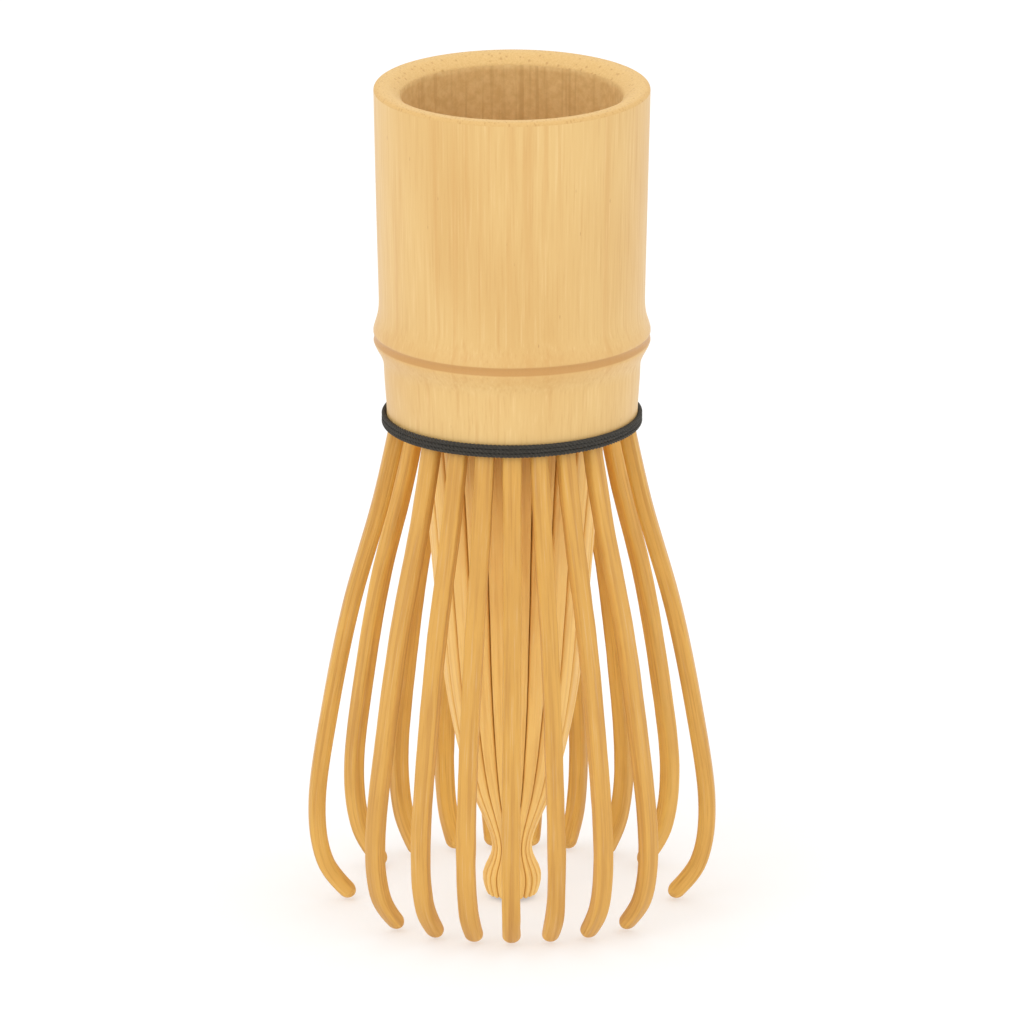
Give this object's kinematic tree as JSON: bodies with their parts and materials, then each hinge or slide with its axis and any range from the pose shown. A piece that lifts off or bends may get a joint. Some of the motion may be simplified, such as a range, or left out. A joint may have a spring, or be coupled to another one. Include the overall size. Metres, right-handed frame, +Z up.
{
  "type": "bamboo tea whisk",
  "caption": "Whisk cut from one length of bamboo: a hollow handle with a node, and springy tines in an outer ring and an inner bunch, held apart by a thread.",
  "frame": {"origin": "on the surface that the tine tips stand on, under the middle of the handle", "axes": "+Z up along the handle, from the tine tips to the mouth; -Y is the front"},
  "size_m": [0.0544, 0.0543, 0.1125],
  "materials": {
    "culm_bamboo": "cured bamboo skin, satin",
    "outer_tine_bamboo": "split bamboo, satin skin outside and fibrous inside",
    "inner_tine_bamboo": "split bamboo, matt",
    "thread": "twisted waxed thread, matt"
  },
  "bodies": {
    "handle": {"handle_culm": "culm_bamboo", "binding_thread": "thread", "lacing_thread": "thread", "thread_knot": "thread"},
    "outer_tine_01": {"outer_tine_01": "outer_tine_bamboo"},
    "outer_tine_02": {"outer_tine_02": "outer_tine_bamboo"},
    "outer_tine_03": {"outer_tine_03": "outer_tine_bamboo"},
    "outer_tine_04": {"outer_tine_04": "outer_tine_bamboo"},
    "outer_tine_05": {"outer_tine_05": "outer_tine_bamboo"},
    "outer_tine_06": {"outer_tine_06": "outer_tine_bamboo"},
    "outer_tine_07": {"outer_tine_07": "outer_tine_bamboo"},
    "outer_tine_08": {"outer_tine_08": "outer_tine_bamboo"},
    "outer_tine_09": {"outer_tine_09": "outer_tine_bamboo"},
    "outer_tine_10": {"outer_tine_10": "outer_tine_bamboo"},
    "outer_tine_11": {"outer_tine_11": "outer_tine_bamboo"},
    "outer_tine_12": {"outer_tine_12": "outer_tine_bamboo"},
    "outer_tine_13": {"outer_tine_13": "outer_tine_bamboo"},
    "outer_tine_14": {"outer_tine_14": "outer_tine_bamboo"},
    "outer_tine_15": {"outer_tine_15": "outer_tine_bamboo"},
    "outer_tine_16": {"outer_tine_16": "outer_tine_bamboo"},
    "outer_tine_17": {"outer_tine_17": "outer_tine_bamboo"},
    "inner_tine_01": {"inner_tine_01": "inner_tine_bamboo"},
    "inner_tine_02": {"inner_tine_02": "inner_tine_bamboo"},
    "inner_tine_03": {"inner_tine_03": "inner_tine_bamboo"},
    "inner_tine_04": {"inner_tine_04": "inner_tine_bamboo"},
    "inner_tine_05": {"inner_tine_05": "inner_tine_bamboo"},
    "inner_tine_06": {"inner_tine_06": "inner_tine_bamboo"},
    "inner_tine_07": {"inner_tine_07": "inner_tine_bamboo"},
    "inner_tine_08": {"inner_tine_08": "inner_tine_bamboo"},
    "inner_tine_09": {"inner_tine_09": "inner_tine_bamboo"},
    "inner_tine_10": {"inner_tine_10": "inner_tine_bamboo"},
    "inner_tine_11": {"inner_tine_11": "inner_tine_bamboo"},
    "inner_tine_12": {"inner_tine_12": "inner_tine_bamboo"},
    "inner_tine_13": {"inner_tine_13": "inner_tine_bamboo"},
    "inner_tine_14": {"inner_tine_14": "inner_tine_bamboo"},
    "inner_tine_15": {"inner_tine_15": "inner_tine_bamboo"},
    "inner_tine_16": {"inner_tine_16": "inner_tine_bamboo"},
    "inner_tine_17": {"inner_tine_17": "inner_tine_bamboo"},
    "inner_tine_18": {"inner_tine_18": "inner_tine_bamboo"},
    "inner_tine_19": {"inner_tine_19": "inner_tine_bamboo"},
    "inner_tine_20": {"inner_tine_20": "inner_tine_bamboo"},
    "inner_tine_21": {"inner_tine_21": "inner_tine_bamboo"},
    "inner_tine_22": {"inner_tine_22": "inner_tine_bamboo"},
    "inner_tine_23": {"inner_tine_23": "inner_tine_bamboo"}
  },
  "joints": [
    {"name": "outer_tine_01_bend", "type": "hinge", "parent": "handle", "child": "outer_tine_01", "pos_m": [0, -0.015, 0.06675], "axis": [-1, 0, 0], "range_deg": [-8, 8], "stiffness_Nm_per_rad": 0.1},
    {"name": "outer_tine_02_bend", "type": "hinge", "parent": "handle", "child": "outer_tine_02", "pos_m": [0.00348, -0.01459, 0.06675], "axis": [-0.9727, -0.232, 0], "range_deg": [-8, 8], "stiffness_Nm_per_rad": 0.1},
    {"name": "outer_tine_03_bend", "type": "hinge", "parent": "handle", "child": "outer_tine_03", "pos_m": [0.00696, -0.01329, 0.06675], "axis": [-0.8858, -0.464, 0], "range_deg": [-8, 8], "stiffness_Nm_per_rad": 0.1},
    {"name": "outer_tine_04_bend", "type": "hinge", "parent": "handle", "child": "outer_tine_04", "pos_m": [0.01044, -0.01077, 0.06675], "axis": [-0.718, -0.696, 0], "range_deg": [-8, 8], "stiffness_Nm_per_rad": 0.1},
    {"name": "outer_tine_05_bend", "type": "hinge", "parent": "handle", "child": "outer_tine_05", "pos_m": [0.01496, -0.00105, 0.06675], "axis": [-0.0698, -0.9976, 0], "range_deg": [-8, 8], "stiffness_Nm_per_rad": 0.1},
    {"name": "outer_tine_06_bend", "type": "hinge", "parent": "handle", "child": "outer_tine_06", "pos_m": [0.01218, 0.00876, 0.06675], "axis": [0.5837, -0.812, 0], "range_deg": [-8, 8], "stiffness_Nm_per_rad": 0.1},
    {"name": "outer_tine_07_bend", "type": "hinge", "parent": "handle", "child": "outer_tine_07", "pos_m": [0.0087, 0.01222, 0.06675], "axis": [0.8146, -0.58, 0], "range_deg": [-8, 8], "stiffness_Nm_per_rad": 0.1},
    {"name": "outer_tine_08_bend", "type": "hinge", "parent": "handle", "child": "outer_tine_08", "pos_m": [0.00522, 0.01406, 0.06675], "axis": [0.9375, -0.348, 0], "range_deg": [-8, 8], "stiffness_Nm_per_rad": 0.1},
    {"name": "outer_tine_09_bend", "type": "hinge", "parent": "handle", "child": "outer_tine_09", "pos_m": [0.00174, 0.0149, 0.06675], "axis": [0.9932, -0.116, 0], "range_deg": [-8, 8], "stiffness_Nm_per_rad": 0.1},
    {"name": "outer_tine_10_bend", "type": "hinge", "parent": "handle", "child": "outer_tine_10", "pos_m": [-0.00174, 0.0149, 0.06675], "axis": [0.9932, 0.116, 0], "range_deg": [-8, 8], "stiffness_Nm_per_rad": 0.1},
    {"name": "outer_tine_11_bend", "type": "hinge", "parent": "handle", "child": "outer_tine_11", "pos_m": [-0.00522, 0.01406, 0.06675], "axis": [0.9375, 0.348, 0], "range_deg": [-8, 8], "stiffness_Nm_per_rad": 0.1},
    {"name": "outer_tine_12_bend", "type": "hinge", "parent": "handle", "child": "outer_tine_12", "pos_m": [-0.0087, 0.01222, 0.06675], "axis": [0.8146, 0.58, 0], "range_deg": [-8, 8], "stiffness_Nm_per_rad": 0.1},
    {"name": "outer_tine_13_bend", "type": "hinge", "parent": "handle", "child": "outer_tine_13", "pos_m": [-0.01218, 0.00876, 0.06675], "axis": [0.5837, 0.812, 0], "range_deg": [-8, 8], "stiffness_Nm_per_rad": 0.1},
    {"name": "outer_tine_14_bend", "type": "hinge", "parent": "handle", "child": "outer_tine_14", "pos_m": [-0.01496, -0.00105, 0.06675], "axis": [-0.0698, 0.9976, 0], "range_deg": [-8, 8], "stiffness_Nm_per_rad": 0.1},
    {"name": "outer_tine_15_bend", "type": "hinge", "parent": "handle", "child": "outer_tine_15", "pos_m": [-0.01044, -0.01077, 0.06675], "axis": [-0.718, 0.696, 0], "range_deg": [-8, 8], "stiffness_Nm_per_rad": 0.1},
    {"name": "outer_tine_16_bend", "type": "hinge", "parent": "handle", "child": "outer_tine_16", "pos_m": [-0.00696, -0.01329, 0.06675], "axis": [-0.8858, 0.464, 0], "range_deg": [-8, 8], "stiffness_Nm_per_rad": 0.1},
    {"name": "outer_tine_17_bend", "type": "hinge", "parent": "handle", "child": "outer_tine_17", "pos_m": [-0.00348, -0.01459, 0.06675], "axis": [-0.9727, 0.232, 0], "range_deg": [-8, 8], "stiffness_Nm_per_rad": 0.1},
    {"name": "inner_tine_01_bend", "type": "hinge", "parent": "handle", "child": "inner_tine_01", "pos_m": [0.00122, -0.01184, 0.06675], "axis": [-0.9948, -0.1023, 0], "range_deg": [0, 4], "stiffness_Nm_per_rad": 0.05},
    {"name": "inner_tine_02_bend", "type": "hinge", "parent": "handle", "child": "inner_tine_02", "pos_m": [0.00437, -0.01107, 0.06675], "axis": [-0.9303, -0.3669, 0], "range_deg": [0, 4], "stiffness_Nm_per_rad": 0.05},
    {"name": "inner_tine_03_bend", "type": "hinge", "parent": "handle", "child": "inner_tine_03", "pos_m": [0.00719, -0.00948, 0.06675], "axis": [-0.7968, -0.6042, 0], "range_deg": [0, 4], "stiffness_Nm_per_rad": 0.05},
    {"name": "inner_tine_04_bend", "type": "hinge", "parent": "handle", "child": "inner_tine_04", "pos_m": [0.00948, -0.00719, 0.06675], "axis": [-0.6042, -0.7968, 0], "range_deg": [0, 4], "stiffness_Nm_per_rad": 0.05},
    {"name": "inner_tine_05_bend", "type": "hinge", "parent": "handle", "child": "inner_tine_05", "pos_m": [0.01107, -0.00437, 0.06675], "axis": [-0.3669, -0.9303, 0], "range_deg": [0, 4], "stiffness_Nm_per_rad": 0.05},
    {"name": "inner_tine_06_bend", "type": "hinge", "parent": "handle", "child": "inner_tine_06", "pos_m": [0.01184, -0.00122, 0.06675], "axis": [-0.1023, -0.9948, 0], "range_deg": [0, 4], "stiffness_Nm_per_rad": 0.05},
    {"name": "inner_tine_07_bend", "type": "hinge", "parent": "handle", "child": "inner_tine_07", "pos_m": [0.01173, 0.00202, 0.06675], "axis": [0.1699, -0.9855, 0], "range_deg": [0, 4], "stiffness_Nm_per_rad": 0.05},
    {"name": "inner_tine_08_bend", "type": "hinge", "parent": "handle", "child": "inner_tine_08", "pos_m": [0.01075, 0.00511, 0.06675], "axis": [0.4295, -0.9031, 0], "range_deg": [0, 4], "stiffness_Nm_per_rad": 0.05},
    {"name": "inner_tine_09_bend", "type": "hinge", "parent": "handle", "child": "inner_tine_09", "pos_m": [0.00897, 0.00782, 0.06675], "axis": [0.6572, -0.7537, 0], "range_deg": [0, 4], "stiffness_Nm_per_rad": 0.05},
    {"name": "inner_tine_10_bend", "type": "hinge", "parent": "handle", "child": "inner_tine_10", "pos_m": [0.00653, 0.00995, 0.06675], "axis": [0.8362, -0.5485, 0], "range_deg": [0, 4], "stiffness_Nm_per_rad": 0.05},
    {"name": "inner_tine_11_bend", "type": "hinge", "parent": "handle", "child": "inner_tine_11", "pos_m": [0.0036, 0.01134, 0.06675], "axis": [0.9531, -0.3025, 0], "range_deg": [0, 4], "stiffness_Nm_per_rad": 0.05},
    {"name": "inner_tine_12_bend", "type": "hinge", "parent": "handle", "child": "inner_tine_12", "pos_m": [0.00041, 0.01189, 0.06675], "axis": [0.9994, -0.0341, 0], "range_deg": [0, 4], "stiffness_Nm_per_rad": 0.05},
    {"name": "inner_tine_13_bend", "type": "hinge", "parent": "handle", "child": "inner_tine_13", "pos_m": [-0.00282, 0.01156, 0.06675], "axis": [0.9716, 0.2368, 0], "range_deg": [0, 4], "stiffness_Nm_per_rad": 0.05},
    {"name": "inner_tine_14_bend", "type": "hinge", "parent": "handle", "child": "inner_tine_14", "pos_m": [-0.00583, 0.01037, 0.06675], "axis": [0.8717, 0.4901, 0], "range_deg": [0, 4], "stiffness_Nm_per_rad": 0.05},
    {"name": "inner_tine_15_bend", "type": "hinge", "parent": "handle", "child": "inner_tine_15", "pos_m": [-0.00842, 0.00842, 0.06675], "axis": [0.7071, 0.7071, 0], "range_deg": [0, 4], "stiffness_Nm_per_rad": 0.05},
    {"name": "inner_tine_16_bend", "type": "hinge", "parent": "handle", "child": "inner_tine_16", "pos_m": [-0.01037, 0.00583, 0.06675], "axis": [0.4901, 0.8717, 0], "range_deg": [0, 4], "stiffness_Nm_per_rad": 0.05},
    {"name": "inner_tine_17_bend", "type": "hinge", "parent": "handle", "child": "inner_tine_17", "pos_m": [-0.01156, 0.00282, 0.06675], "axis": [0.2368, 0.9716, 0], "range_deg": [0, 4], "stiffness_Nm_per_rad": 0.05},
    {"name": "inner_tine_18_bend", "type": "hinge", "parent": "handle", "child": "inner_tine_18", "pos_m": [-0.01189, -0.00041, 0.06675], "axis": [-0.0341, 0.9994, 0], "range_deg": [0, 4], "stiffness_Nm_per_rad": 0.05},
    {"name": "inner_tine_19_bend", "type": "hinge", "parent": "handle", "child": "inner_tine_19", "pos_m": [-0.01134, -0.0036, 0.06675], "axis": [-0.3025, 0.9531, 0], "range_deg": [0, 4], "stiffness_Nm_per_rad": 0.05},
    {"name": "inner_tine_20_bend", "type": "hinge", "parent": "handle", "child": "inner_tine_20", "pos_m": [-0.00995, -0.00653, 0.06675], "axis": [-0.5485, 0.8362, 0], "range_deg": [0, 4], "stiffness_Nm_per_rad": 0.05},
    {"name": "inner_tine_21_bend", "type": "hinge", "parent": "handle", "child": "inner_tine_21", "pos_m": [-0.00782, -0.00897, 0.06675], "axis": [-0.7537, 0.6572, 0], "range_deg": [0, 4], "stiffness_Nm_per_rad": 0.05},
    {"name": "inner_tine_22_bend", "type": "hinge", "parent": "handle", "child": "inner_tine_22", "pos_m": [-0.00511, -0.01075, 0.06675], "axis": [-0.9031, 0.4295, 0], "range_deg": [0, 4], "stiffness_Nm_per_rad": 0.05},
    {"name": "inner_tine_23_bend", "type": "hinge", "parent": "handle", "child": "inner_tine_23", "pos_m": [-0.00202, -0.01173, 0.06675], "axis": [-0.9855, 0.1699, 0], "range_deg": [0, 4], "stiffness_Nm_per_rad": 0.05}
  ]
}
